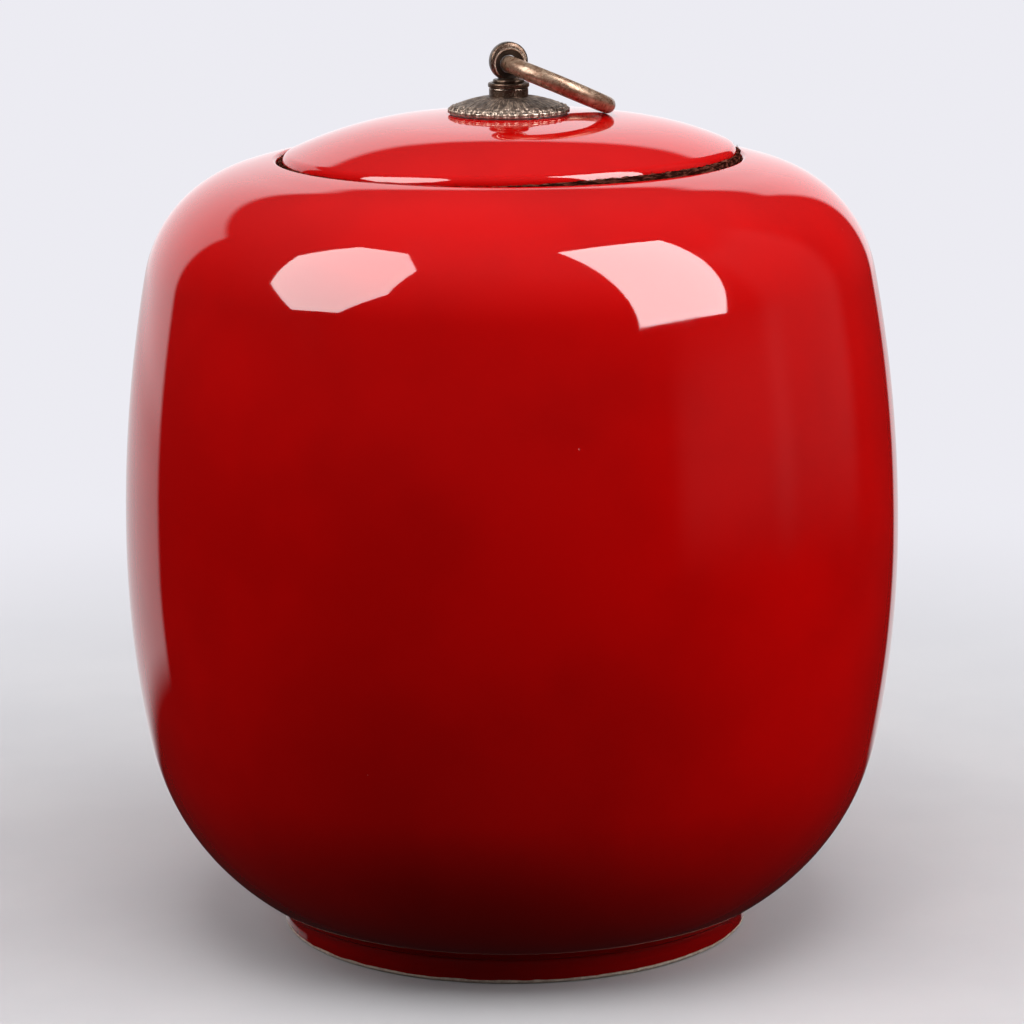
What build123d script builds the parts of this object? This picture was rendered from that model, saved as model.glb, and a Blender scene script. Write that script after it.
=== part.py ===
from build123d import *
import os
from math import acos, asin, cos, degrees, radians, sin, sqrt

# Ginger jar of red-glazed porcelain with a sunk, domed lid. A bronze finial stands on the lid:
# a scalloped rosette, a turned collar and an eye bolt with a loose pull ring.
# Millimetres. The origin is the centre of the foot ring's underside, and +Z is up the jar's axis.
# The pull ring swings about an axis parallel to Y, and lies towards +X at rest.

# Jar, outside. Each arc runs on smoothly from the last. A tilt is the angle of the surface's outward
# normal above the horizontal, in degrees, at the arc's end.
BELLY_R = 95.0
BELLY_Z = 97.5
UPPER_SIDE_ARC = 351.0
UPPER_SIDE_TILT = 10.9
SHOULDER_ARC = 32.3
SHOULDER_TILT = 73.8
CROWN_ARC = 184.0
CROWN_TILT = 74.9
BRIM_ARC = 52.1
BRIM_TILT = 80.5
LOWER_SIDE_ARC = 262.0
LOWER_SIDE_TILT = -10.8
BASE_ARC = 60.6
BASE_TILT = -61.0
FOOT_FILLET = 4.6
FOOT_EDGE = 0.7
FOOT_WIDTH = 7.0
FOOT_RECESS = 4.0

# Jar, inside and mouth
WALL = 4.5
FLOOR_ARC = 12.0
LIP_ARC = 1.1
LEDGE_Z = 186.9
LEDGE_THICKNESS = 5.0
THROAT_R = 49.0
THROAT_EDGE = 1.5

# Lid
LID_R = 55.06
LID_EDGE_Z = 190.78
LID_EDGE_ARC = 1.6
LID_RIM_ARC = 2.8
LID_FLANK_ARC = 83.2
LID_CROWN_ARC = 267.0
LID_CROWN_TILT = 83.9
LID_THICKNESS = 4.5
LID_HOLE_R = 3.2
SPIGOT_R = 47.6
SPIGOT_WIDTH = 4.0
SPIGOT_DEPTH = 9.0
SPIGOT_EDGE = 1.2

# Fibre gasket between lid and ledge: a flat ring with an upstand round the lid's edge
SOFT_GAP = 0.05
GASKET_INNER_R = 49.9
GASKET_OUTER_R = 56.0
GASKET_UPSTAND = 0.8
GASKET_TOP_Z = 191.5

# Finial
ROSETTE_R = 14.8
ROSETTE_DOME = 27.0
ROSETTE_RIM = 0.9
ROSETTE_WALL = 1.1
ROSETTE_SEAT_R = 5.2
ROSETTE_SEAT_Z = 205.4
SCALLOPS = 32
SCALLOP_R = 0.62
PAD_INNER_R = 10.5
PAD_OUTER_R = 14.2
PAD_THICKNESS = 0.42
PAD_GAP = 0.03
COLLAR_DRUM_R = 4.75
COLLAR_DRUM_HEIGHT = 2.3
COLLAR_LIP_R = 5.0
COLLAR_LIP_HEIGHT = 1.1
COLLAR_EDGE = 0.3
NECK_RING_R = 3.8
NECK_RING_HEIGHT = 0.8
EYE_R = 4.68
EYE_HOLE_R = 2.2
EYE_HOLE_DROP = 0.57
EYE_HOLE_EDGE = 1.0
EYE_WIDTH = 3.0
EYE_EDGE = 0.85
EYE_Z = 213.9
SHANK_R = 2.0
SHANK_CLEARANCE = 0.05
SHANK_TAIL = 1.0

# Pull ring
RING_PITCH_R = 13.2
RING_TUBE_R = 2.05
RING_PLAY = 0.05
RING_REST_GAP = 0.08

# Hardware under the lid
SOFT_WASHER_R = 9.0
SOFT_WASHER_THICKNESS = 1.5
STEEL_WASHER_R = 6.0
STEEL_WASHER_THICKNESS = 0.8
NUT_ACROSS_FLATS = 7.0
NUT_HEIGHT = 3.2
NUT_CHAMFER_R = 3.85


def at(r, z):
    """A point of an outline, at radius r and height z."""
    return Vector(r, 0, z)


def normal(tilt):
    """The unit vector that leans tilt degrees above the horizontal."""
    return at(cos(radians(tilt)), sin(radians(tilt)))


def arc_run(start, start_tilt, arcs):
    """Arcs that run on smoothly from start. Each is (radius, tilt at its end); a hollow arc's radius
    is negative."""
    edges = []
    here = start
    tilt = start_tilt
    for radius, end_tilt in arcs:
        centre = here - normal(tilt) * radius
        middle = centre + normal((tilt + end_tilt) / 2) * radius
        end = centre + normal(end_tilt) * radius
        edges.append(ThreePointArc(here, middle, end))
        here = end
        tilt = end_tilt
    return edges


def domed(start, end, radius):
    """An arc of that radius from start inwards to end, bulging up."""
    chord = end - start
    sagitta = radius - sqrt(radius ** 2 - (chord.length / 2) ** 2)
    outward = Vector(chord.Z, 0, -chord.X).normalized()
    return ThreePointArc(start, (start + end) / 2 + outward * sagitta, end)


def turned(edges):
    """The solid that a closed outline makes when it turns about the jar's axis."""
    return revolve(Face(Wire(edges)), Axis.Z)


def ring_between(inner_r, outer_r, low_z, high_z):
    """A plain flat ring about the jar's axis."""
    ring = Cylinder(outer_r, high_z - low_z) - Cylinder(inner_r, high_z - low_z)
    return Pos(0, 0, (low_z + high_z) / 2) * ring


# The lid's rim arc, above its edge, meets the flank where the crown's end comes onto the axis.
FLANK_TILT = degrees(acos(
    (LID_R - LID_RIM_ARC - (LID_CROWN_ARC - LID_FLANK_ARC) * cos(radians(LID_CROWN_TILT)))
    / (LID_FLANK_ARC - LID_RIM_ARC)))
LID_ARCS = arc_run(
    at(LID_R, LID_EDGE_Z), 0,
    [(LID_RIM_ARC, FLANK_TILT), (LID_FLANK_ARC, LID_CROWN_TILT), (LID_CROWN_ARC, 90)])
LID_TOP_Z = (LID_ARCS[-1] @ 1).Z
LID_UNDER_Z = LID_EDGE_Z - LID_EDGE_ARC
CROWN_CENTRE_Z = LID_TOP_Z - LID_CROWN_ARC


def above_crown(r, height):
    """The point at radius r, and at that height over the lid's crown."""
    return at(r, CROWN_CENTRE_Z + sqrt((LID_CROWN_ARC + height) ** 2 - r ** 2))


def jar_body():
    """Porcelain shell: foot ring, floor, wall, shoulder and the mouth with its ledge."""
    outer_top = arc_run(
        at(BELLY_R, BELLY_Z), 0,
        [(UPPER_SIDE_ARC, UPPER_SIDE_TILT), (SHOULDER_ARC, SHOULDER_TILT), (CROWN_ARC, CROWN_TILT),
         (BRIM_ARC, BRIM_TILT), (LIP_ARC, 180)])
    outer_base = arc_run(
        at(BELLY_R, BELLY_Z), 0,
        [(LOWER_SIDE_ARC, LOWER_SIDE_TILT), (BASE_ARC, BASE_TILT), (-FOOT_FILLET, 0)])
    inner_belly = at(BELLY_R - WALL, BELLY_Z)
    inner_side = arc_run(inner_belly, 0, [(UPPER_SIDE_ARC - WALL, UPPER_SIDE_TILT)])
    side_end = inner_side[-1] @ 1
    ledge_under_z = LEDGE_Z - LEDGE_THICKNESS
    inner_shoulder = SHOULDER_ARC - WALL
    shoulder_centre = side_end - normal(UPPER_SIDE_TILT) * inner_shoulder
    ceiling_tilt = degrees(asin((ledge_under_z - shoulder_centre.Z) / inner_shoulder))
    inner_shoulder_arc = arc_run(side_end, UPPER_SIDE_TILT, [(inner_shoulder, ceiling_tilt)])
    inner_base = arc_run(
        inner_belly, 0,
        [(LOWER_SIDE_ARC - WALL, LOWER_SIDE_TILT), (BASE_ARC - WALL, BASE_TILT), (FLOOR_ARC, -90)])
    lip_end = outer_top[-1] @ 1
    ceiling_end = inner_shoulder_arc[-1] @ 1
    floor_end = inner_base[-1] @ 1
    foot_wall = outer_base[-1] @ 1
    foot_inner_r = foot_wall.X - FOOT_WIDTH
    mouth = Polyline(
        lip_end, at(lip_end.X, LEDGE_Z), at(THROAT_R, LEDGE_Z), at(THROAT_R, ledge_under_z), ceiling_end)
    foot = Polyline(
        foot_wall, at(foot_wall.X, 0), at(foot_inner_r, 0), at(foot_inner_r, FOOT_RECESS),
        at(0, FOOT_RECESS), at(0, floor_end.Z), floor_end)
    body = turned(outer_top + outer_base + inner_side + inner_shoulder_arc + inner_base
                  + mouth.edges() + foot.edges())
    circles = body.edges().filter_by(GeomType.CIRCLE)
    foot_edges = circles.filter_by(lambda edge: abs(edge.arc_center.Z) < 0.01)
    body = fillet(foot_edges, FOOT_EDGE)
    throat_edges = body.edges().filter_by(GeomType.CIRCLE).filter_by(
        lambda edge: abs(edge.radius - THROAT_R) < 0.01)
    return fillet(throat_edges, THROAT_EDGE)


def lid():
    """Domed porcelain lid with a spigot that locates it in the throat, and a hole for the shank."""
    flank_end = LID_ARCS[1] @ 1
    inner_flank = LID_FLANK_ARC - LID_THICKNESS
    flank_centre = flank_end - normal(LID_CROWN_TILT) * LID_FLANK_ARC
    spigot_inner_r = SPIGOT_R - SPIGOT_WIDTH
    inner_start_tilt = degrees(acos((spigot_inner_r - flank_centre.X) / inner_flank))
    inner_start = flank_centre + normal(inner_start_tilt) * inner_flank
    under = arc_run(
        inner_start, inner_start_tilt,
        [(inner_flank, LID_CROWN_TILT), (LID_CROWN_ARC - LID_THICKNESS, 90)])
    edge_under = arc_run(at(LID_R, LID_EDGE_Z), 0, [(LID_EDGE_ARC, -90)])
    spigot_z = LID_UNDER_Z - SPIGOT_DEPTH
    spigot = Polyline(
        edge_under[-1] @ 1, at(SPIGOT_R, LID_UNDER_Z), at(SPIGOT_R, spigot_z),
        at(spigot_inner_r, spigot_z), inner_start)
    axis_line = Line(LID_ARCS[-1] @ 1, under[-1] @ 1)
    shell = turned(LID_ARCS + under + edge_under + spigot.edges() + [axis_line])
    tip_edges = shell.edges().filter_by(GeomType.CIRCLE).filter_by(
        lambda edge: abs(edge.arc_center.Z - spigot_z) < 0.01)
    shell = fillet(tip_edges, SPIGOT_EDGE)
    return shell - Pos(0, 0, LID_TOP_Z) * Cylinder(LID_HOLE_R, 4 * LID_THICKNESS)


def lid_gasket():
    """Soft fibre ring of L section: it lies on the ledge, under the lid's rim and round its edge."""
    low_z = LEDGE_Z + SOFT_GAP
    seat_z = LID_UNDER_Z - SOFT_GAP
    upstand_r = GASKET_OUTER_R - GASKET_UPSTAND
    outline = Polyline(
        at(GASKET_INNER_R, low_z), at(GASKET_OUTER_R, low_z), at(GASKET_OUTER_R, GASKET_TOP_Z),
        at(upstand_r, GASKET_TOP_Z), at(upstand_r, seat_z), at(GASKET_INNER_R, seat_z), close=True)
    return turned(outline.edges())


def rosette_pad():
    """Thin soft ring between the rosette's rim and the glaze, bent to the lid's crown."""
    low_inner = above_crown(PAD_INNER_R, PAD_GAP)
    low_outer = above_crown(PAD_OUTER_R, PAD_GAP)
    top = PAD_GAP + PAD_THICKNESS
    high_inner = above_crown(PAD_INNER_R, top)
    high_outer = above_crown(PAD_OUTER_R, top)
    low_middle = above_crown((PAD_INNER_R + PAD_OUTER_R) / 2, PAD_GAP)
    high_middle = above_crown((PAD_INNER_R + PAD_OUTER_R) / 2, top)
    return turned([
        ThreePointArc(low_inner, low_middle, low_outer),
        Line(low_outer, high_outer),
        ThreePointArc(high_outer, high_middle, high_inner),
        Line(high_inner, low_inner)])


def rosette():
    """Domed bronze escutcheon, hollow underneath, with a scalloped rim and a flat seat on top."""
    rim_low = above_crown(ROSETTE_R, 2 * PAD_GAP + PAD_THICKNESS)
    rim_high = at(ROSETTE_R, rim_low.Z + ROSETTE_RIM)
    rim_inner_r = ROSETTE_R - 2 * ROSETTE_RIM
    rim_inner = above_crown(rim_inner_r, 2 * PAD_GAP + PAD_THICKNESS)
    seat_edge = at(ROSETTE_SEAT_R, ROSETTE_SEAT_Z)
    hole_r = SHANK_R + SHANK_CLEARANCE
    ceiling_z = ROSETTE_SEAT_Z - ROSETTE_WALL
    hollow_edge = at(ROSETTE_SEAT_R - ROSETTE_WALL, ceiling_z)
    dome = domed(rim_high, seat_edge, ROSETTE_DOME)
    hollow = domed(rim_inner, hollow_edge, ROSETTE_DOME - ROSETTE_WALL)
    top = Polyline(seat_edge, at(hole_r, ROSETTE_SEAT_Z), at(hole_r, ceiling_z), hollow_edge)
    cap = turned([Line(rim_inner, rim_low), Line(rim_low, rim_high), dome, hollow] + top.edges())
    notch = Cylinder(SCALLOP_R, 4 * ROSETTE_RIM)
    for place in PolarLocations(ROSETTE_R + SCALLOP_R / 3, SCALLOPS):
        cap -= Pos(0, 0, rim_low.Z) * place * notch
    return cap


def collar():
    """Turned collar on the rosette: a drum under a rounded lip."""
    lip_z = ROSETTE_SEAT_Z + COLLAR_DRUM_HEIGHT
    top_z = lip_z + COLLAR_LIP_HEIGHT
    hole_r = SHANK_R + SHANK_CLEARANCE
    lip = ring_between(hole_r, COLLAR_LIP_R, lip_z, top_z)
    rims = lip.edges().filter_by(GeomType.CIRCLE).filter_by(lambda edge: edge.radius > COLLAR_DRUM_R)
    lip = fillet(rims, COLLAR_EDGE)
    return ring_between(hole_r, COLLAR_DRUM_R, ROSETTE_SEAT_Z, lip_z) + lip


def eye_bolt():
    """Eye, neck ring and shank in one casting. The eye's hole runs along Y, flares at both ends and lies
    below the eye's centre. The shank's thread is left plain, at its outer size."""
    neck_z = ROSETTE_SEAT_Z + COLLAR_DRUM_HEIGHT + COLLAR_LIP_HEIGHT
    neck = Pos(0, 0, neck_z + NECK_RING_HEIGHT / 2) * Cylinder(NECK_RING_R, NECK_RING_HEIGHT)
    neck = fillet(neck.edges().filter_by(GeomType.CIRCLE), COLLAR_EDGE)
    eye = fillet(Cylinder(EYE_R, EYE_WIDTH).edges().filter_by(GeomType.CIRCLE), EYE_EDGE)
    eye -= Pos(0, -EYE_HOLE_DROP, 0) * Cylinder(EYE_HOLE_R, EYE_WIDTH)
    hole_edges = eye.edges().filter_by(GeomType.CIRCLE).filter_by(
        lambda edge: abs(edge.radius - EYE_HOLE_R) < 0.01)
    eye = Rot(90, 0, 0) * fillet(hole_edges, EYE_HOLE_EDGE)
    tail_z = nut_low_z() - SHANK_TAIL
    shank_length = neck_z + NECK_RING_HEIGHT / 2 - tail_z
    shank = Pos(0, 0, tail_z + shank_length / 2) * Cylinder(SHANK_R, shank_length)
    return neck + Pos(0, 0, EYE_Z) * eye + shank


def pivot_z():
    """Height of the pull ring's tube where it hangs in the eye."""
    return EYE_Z - EYE_HOLE_DROP - (EYE_HOLE_R - RING_TUBE_R - RING_PLAY)


def ring_slope():
    """The angle, in degrees, at which the pull ring slopes down from the eye to rest on the lid."""
    reach = 2 * RING_PITCH_R
    pivot_height = pivot_z() - CROWN_CENTRE_Z
    rest_height = LID_CROWN_ARC + RING_TUBE_R + RING_REST_GAP
    return degrees(asin((reach ** 2 + pivot_height ** 2 - rest_height ** 2) / (2 * reach * pivot_height)))


def pull_ring():
    """Loose round ring through the eye. It lies towards +X, with its far side on the lid."""
    flat = Pos(RING_PITCH_R, 0, 0) * Torus(RING_PITCH_R, RING_TUBE_R)
    return Pos(0, 0, pivot_z()) * Rot(0, ring_slope(), 0) * flat


def lid_inside_z():
    """Height of the lid's underside at the soft washer's edge."""
    return above_crown(SOFT_WASHER_R, -LID_THICKNESS).Z


def soft_washer():
    """Soft washer between the steel washer and the porcelain, flat as clamped."""
    high_z = lid_inside_z() - SOFT_GAP
    return ring_between(SHANK_R + SHANK_CLEARANCE, SOFT_WASHER_R, high_z - SOFT_WASHER_THICKNESS, high_z)


def steel_washer_high_z():
    """Height of the steel washer's upper face."""
    return lid_inside_z() - 2 * SOFT_GAP - SOFT_WASHER_THICKNESS


def steel_washer():
    """Plain washer that spreads the nut's load."""
    high_z = steel_washer_high_z()
    return ring_between(SHANK_R + SHANK_CLEARANCE, STEEL_WASHER_R, high_z - STEEL_WASHER_THICKNESS, high_z)


def nut_low_z():
    """Height of the nut's lower face."""
    return steel_washer_high_z() - STEEL_WASHER_THICKNESS - NUT_HEIGHT


def lid_nut():
    """Hexagon nut that clamps the finial to the lid. Its thread is left plain."""
    hexagon = RegularPolygon(NUT_ACROSS_FLATS / 2, 6, major_radius=False)
    nut = Pos(0, 0, nut_low_z()) * extrude(hexagon, NUT_HEIGHT)
    corners = Pos(0, 0, nut_low_z() + NUT_HEIGHT / 2) * Cylinder(NUT_CHAMFER_R, NUT_HEIGHT)
    bore = Pos(0, 0, nut_low_z() + NUT_HEIGHT / 2) * Cylinder(SHANK_R + SHANK_CLEARANCE, 2 * NUT_HEIGHT)
    return (nut & corners) - bore


PARTS = [jar_body, lid, lid_gasket, rosette_pad, rosette, collar, eye_bolt, pull_ring, soft_washer,
         steel_washer, lid_nut]

os.makedirs("parts", exist_ok=True)
for make in PARTS:
    export_step(make(), f"parts/{make.__name__}.step")
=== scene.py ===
from math import acos, asin, atan2, ceil, cos, degrees, pi, radians, sin, sqrt, tan

import bmesh
import bpy
import numpy as np
from mathutils import Matrix, Vector, noise


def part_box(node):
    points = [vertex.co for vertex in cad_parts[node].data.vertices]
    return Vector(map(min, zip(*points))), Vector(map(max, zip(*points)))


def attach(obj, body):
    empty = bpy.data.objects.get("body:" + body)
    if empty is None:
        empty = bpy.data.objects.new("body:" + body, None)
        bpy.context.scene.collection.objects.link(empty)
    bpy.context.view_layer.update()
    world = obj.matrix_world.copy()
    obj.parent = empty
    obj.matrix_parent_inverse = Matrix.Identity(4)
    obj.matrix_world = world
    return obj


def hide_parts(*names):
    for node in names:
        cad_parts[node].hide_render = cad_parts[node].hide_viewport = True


# A red-glazed ginger jar with a bronze finial and pull ring on its sunk lid. Shapes are worked out in
# millimetres, in the frame's axes, and each mesh is scaled to metres as it is made. Outlines are turned
# about the jar's axis. A tilt is the angle of a surface's outward normal above the horizontal, in degrees.

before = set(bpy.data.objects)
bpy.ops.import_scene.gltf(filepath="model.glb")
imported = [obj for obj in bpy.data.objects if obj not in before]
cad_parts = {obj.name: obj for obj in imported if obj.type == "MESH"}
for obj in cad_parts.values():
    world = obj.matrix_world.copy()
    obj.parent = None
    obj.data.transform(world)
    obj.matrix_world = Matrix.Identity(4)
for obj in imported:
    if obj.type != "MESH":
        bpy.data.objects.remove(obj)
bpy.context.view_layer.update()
METRES = 0.001

# How far the camera stands round from -Y, in degrees. The lid sits highest to the camera's right.
CAMERA_TURN = -15.0


def node_box(node):
    """Lowest and highest corner of a CAD node, in millimetres."""
    low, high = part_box(node)
    return np.array(low) / METRES, np.array(high) / METRES


JAR_LOW, JAR_HIGH = node_box("jar_body")
LID_LOW, LID_HIGH = node_box("lid")
GASKET_LOW, GASKET_HIGH = node_box("lid_gasket")
ROSETTE_LOW, ROSETTE_HIGH = node_box("rosette")
PAD_LOW, PAD_HIGH = node_box("rosette_pad")
COLLAR_LOW, COLLAR_HIGH = node_box("collar")
BOLT_LOW, BOLT_HIGH = node_box("eye_bolt")
SOFT_LOW, SOFT_HIGH = node_box("soft_washer")
STEEL_LOW, STEEL_HIGH = node_box("steel_washer")
NUT_LOW, NUT_HIGH = node_box("lid_nut")

# Jar: arcs run up and down from the belly, each as (radius, tilt at its end)
BELLY_R = JAR_HIGH[0]
BELLY_Z = 97.5
UPPER_ARCS = [(351.0, 10.9), (32.3, 73.8), (184.0, 74.9), (52.1, 80.5), (1.1, 180.0)]
LOWER_ARCS = [(262.0, -10.8), (60.6, -61.0), (-4.6, 0.0)]
FOOT_WIDTH = 7.0
FOOT_RECESS = 4.0
FOOT_EDGE = 0.7
WALL = 4.5
FLOOR_ARC = 12.0
LEDGE_Z = 186.9
LEDGE_THICKNESS = 5.0
THROAT_R = 49.0
THROAT_EDGE = 1.5

# Lid
LID_R = LID_HIGH[0]
LID_EDGE_Z = 190.78
LID_EDGE_ARC = 1.6
LID_RIM_ARC = 2.8
LID_FLANK_ARC = 83.2
LID_CROWN_ARC = 267.0
LID_CROWN_TILT = 83.9
LID_THICKNESS = 4.5
LID_HOLE_R = 3.2
LID_LEVEL_R = 22.0
LID_LEAN = 0.80
LID_SINK = 0.05
LID_BARE_STEPS = 8
SPIGOT_R = 47.6
SPIGOT_WIDTH = 4.0
SPIGOT_EDGE = 1.2

# Gasket: an L section, its top edge ragged and hairy
GASKET_BORE_R = 49.9
GASKET_UPSTAND = 0.8
GASKET_GAP = 0.05
GASKET_TUCKED_Z = 190.75
GASKET_PROUD = 0.95
FIBRES = 900

# Finial
BEADS = 32
ROSETTE_SEAT_R = 5.2
ROSETTE_DOME = 27.0
ROSETTE_WALL = 1.1
ROSETTE_RIM = 0.9
LACE_R = 14.0
LUMP_R = 14.05
PIT_R = 12.95
THIN_RING_R = 12.35
PAD_BORE_R = 10.5
EYE_R = 4.68
EYE_HOLE_R = 2.2
EYE_HOLE_DROP = 0.57
EYE_WIDTH = 3.0
EYE_SAG = 0.15
EYE_Z = BOLT_HIGH[2] - EYE_R
FUNNEL_R = 3.62
FUNNEL_DEPTH = 0.75
DRUM_R = 4.75
COLLAR_LIP_HEIGHT = 1.1
COLLAR_DISH_R = 4.05
COLLAR_DISH_DEPTH = 0.15
NECK_R = 3.8
NECK_HEIGHT = 0.8
SHANK_R = 2.0
BORE_R = SHANK_R + 0.05
THREAD_PITCH = 0.7
THREAD_DEPTH = 0.32
NUT_CHAMFER = 0.35
NUT_CORNER_SLOPE = 30
RING_PITCH_R = 13.2
RING_TUBE_R = 2.05

# Mesh density: the turn between points on arcs, in degrees, and the parts that a full turn is cut into
ARC_TURN = 3.0
FINE_TURN = 6.0
PORCELAIN_PARTS = 256
GASKET_PARTS = 1024
ROSETTE_PARTS = 640
EYE_VOXEL = 0.08


# ---------------------------------------------------------------- outlines

def normal(tilt):
    """The unit vector, as (r, z), that leans tilt degrees above the horizontal."""
    return np.array([cos(radians(tilt)), sin(radians(tilt))])


def arc_run(start, tilt, arcs, step):
    """Points along arcs that run on smoothly from start, at most step apart. Each arc is (radius, tilt at
    its end); a hollow arc's radius is negative."""
    points = [np.array(start, float)]
    for radius, end_tilt in arcs:
        centre = points[-1] - radius * normal(tilt)
        swing = end_tilt - tilt
        count = ceil(max(abs(swing) / ARC_TURN, abs(radius * radians(swing)) / step))
        for i in range(1, count + 1):
            points.append(centre + radius * normal(tilt + swing * i / count))
        tilt = end_tilt
    return points


def rounded(corners, step):
    """Points along straight runs between corners (r, z, rounding radius), with the corners rounded."""
    points = [np.array(corners[0][:2], float)]
    for i in range(1, len(corners)):
        here = np.array(corners[i][:2], float)
        radius = corners[i][2] if len(corners[i]) > 2 else 0
        bend = []
        if radius and i < len(corners) - 1:
            back = np.array(corners[i - 1][:2], float) - here
            ahead = np.array(corners[i + 1][:2], float) - here
            back /= np.linalg.norm(back)
            ahead /= np.linalg.norm(ahead)
            half = acos(np.clip(back @ ahead, -1, 1)) / 2
            bisector = (back + ahead) / np.linalg.norm(back + ahead)
            centre = here + bisector * radius / sin(half)
            first = here + back * radius / tan(half) - centre
            last = here + ahead * radius / tan(half) - centre
            count = ceil(degrees(pi - 2 * half) / FINE_TURN)
            for k in range(count + 1):
                mixed = first * (1 - k / count) + last * (k / count)
                bend.append(centre + mixed * radius / np.linalg.norm(mixed))
        target = bend[0] if bend else here
        run = target - points[-1]
        count = max(1, ceil(np.linalg.norm(run) / step))
        points += [points[-1] + run * (k / count) for k in range(1, count + 1)]
        points += bend[1:]
    return points


def smooth(low, high, value):
    """0 below low, 1 above high, and a smooth step between."""
    t = np.clip((value - low) / (high - low), 0, 1)
    return t * t * (3 - 2 * t)


# ---------------------------------------------------------------- meshes

def turn(outline, segments, closed):
    """Vertices, quads and each quad's outline step for an outline turned about Z. An outline that isn't
    closed starts and ends on the axis."""
    outline = np.array(outline)
    count = len(outline)
    angle = np.arange(segments) * 2 * pi / segments
    r, z = outline[:, 0, None], outline[:, 1, None]
    flat = np.ones_like(angle)
    points = np.stack([r * np.cos(angle), r * np.sin(angle), z * flat], -1).reshape(-1, 3)
    steps = count if closed else count - 1
    i, j = np.meshgrid(np.arange(steps), np.arange(segments), indexing="ij")
    up = (i + 1) % count
    on = (j + 1) % segments
    quads = np.stack([i * segments + j, i * segments + on, up * segments + on, up * segments + j], -1)
    return points, quads.reshape(-1, 4), i.ravel()


def polar(points):
    """Each point's distance from the axis, and its angle round it."""
    return np.hypot(points[:, 0], points[:, 1]), np.arctan2(points[:, 1], points[:, 0])


def noise_at(points, size, seed=0.0, octaves=1):
    """Smooth noise from about -1 to 1 at each point, with features of about that size."""
    values = np.zeros(len(points))
    for k in range(octaves):
        scaled = points / size * 2 ** k + seed + 7.3 * k
        values += np.array([noise.noise(p) for p in scaled]) / 2 ** k
    return values


def mesh_of(name, points, faces, finishes=None):
    """A mesh in metres from points in millimetres, with its poles merged and its faces outwards."""
    mesh = bpy.data.meshes.new(name)
    mesh.from_pydata((points * METRES).tolist(), [], faces.tolist())
    if finishes is not None:
        mesh.polygons.foreach_set("material_index", finishes.astype(np.int32))
    return tidy(mesh)


def tidy(mesh):
    """Merges points at the same place, removes faces without area and turns the rest outwards."""
    work = bmesh.new()
    work.from_mesh(mesh)
    bmesh.ops.remove_doubles(work, verts=work.verts, dist=1e-8)
    bmesh.ops.dissolve_degenerate(work, edges=work.edges, dist=1e-9)
    bmesh.ops.recalc_face_normals(work, faces=work.faces)
    work.to_mesh(mesh)
    work.free()
    mesh.polygons.foreach_set("use_smooth", np.ones(len(mesh.polygons), bool))
    return mesh


def points_of(mesh):
    """The mesh's points, in millimetres."""
    points = np.empty(len(mesh.vertices) * 3)
    mesh.vertices.foreach_get("co", points)
    return points.reshape(-1, 3) / METRES


def store(mesh, name, values):
    """Stores a value for each point of the mesh, for its material to read."""
    mesh.attributes.new(name, "FLOAT", "POINT").data.foreach_set("value", values.astype(np.float32))


def store_curvature(mesh, rounds):
    """Stores how much each point bulges out, per millimetre, as the attribute curve. It is averaged with
    the points round it that many times."""
    count = len(mesh.vertices)
    points = points_of(mesh)
    normals = np.empty(count * 3)
    ends = np.empty(len(mesh.edges) * 2, np.int32)
    mesh.vertices.foreach_get("normal", normals)
    mesh.edges.foreach_get("vertices", ends)
    normals = normals.reshape(-1, 3)
    a, b = ends.reshape(-1, 2).T
    span = points[b] - points[a]
    square = np.maximum((span ** 2).sum(1), 1e-9)
    share = np.bincount(a, minlength=count) + np.bincount(b, minlength=count)
    share = np.maximum(share, 1)
    bulge = np.bincount(a, -(normals[a] * span).sum(1) / square, count)
    bulge += np.bincount(b, (normals[b] * span).sum(1) / square, count)
    bulge /= share
    for _ in range(rounds):
        around = np.bincount(a, bulge[b], count) + np.bincount(b, bulge[a], count)
        bulge = (bulge + around / share) / 2
    store(mesh, "curve", bulge)


def placed(name, data):
    """A new object in the scene."""
    made = bpy.data.objects.new(name, data)
    bpy.context.scene.collection.objects.link(made)
    return made


def show(name, mesh, body, materials, node=None, sharp=None):
    """Makes the piece that is seen in place of a CAD node, on that body. The node has the piece's name
    unless another is given."""
    piece = placed(name, mesh)
    for material in materials:
        mesh.materials.append(material)
    if sharp:
        mesh.set_sharp_from_angle(angle=radians(sharp))
    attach(piece, body)
    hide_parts(node or name)
    return piece


# ---------------------------------------------------------------- materials

class Nodes:
    """The nodes of a material or a world, with short calls that make and link them."""

    def __init__(self, owner):
        owner.use_nodes = True
        self.tree = owner.node_tree

    def put(self, socket, value):
        """Links value to the socket if it is an output, and otherwise sets it. None leaves it alone."""
        if isinstance(value, bpy.types.NodeSocket):
            self.tree.links.new(value, socket)
        elif value is not None:
            socket.default_value = value

    def fill(self, node, values):
        """Puts each value in the node's input of that name."""
        for name, value in values.items():
            self.put(node.inputs[name], value)

    def node(self, kind, *inputs, **settings):
        """A new node, with its inputs in order and its settings by name."""
        made = self.tree.nodes.new(kind)
        for name, value in settings.items():
            setattr(made, name, value)
        for socket, value in zip(made.inputs, inputs):
            self.put(socket, value)
        return made

    def maths(self, operation, a, b=0.0):
        return self.node("ShaderNodeMath", a, b, operation=operation).outputs[0]

    def step(self, value, low, high, to_low=0.0, to_high=1.0):
        """Maps low..high smoothly to to_low..to_high."""
        made = self.node("ShaderNodeMapRange", value, low, high, to_low, to_high)
        made.interpolation_type = "SMOOTHSTEP"
        return made.outputs[0]


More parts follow.
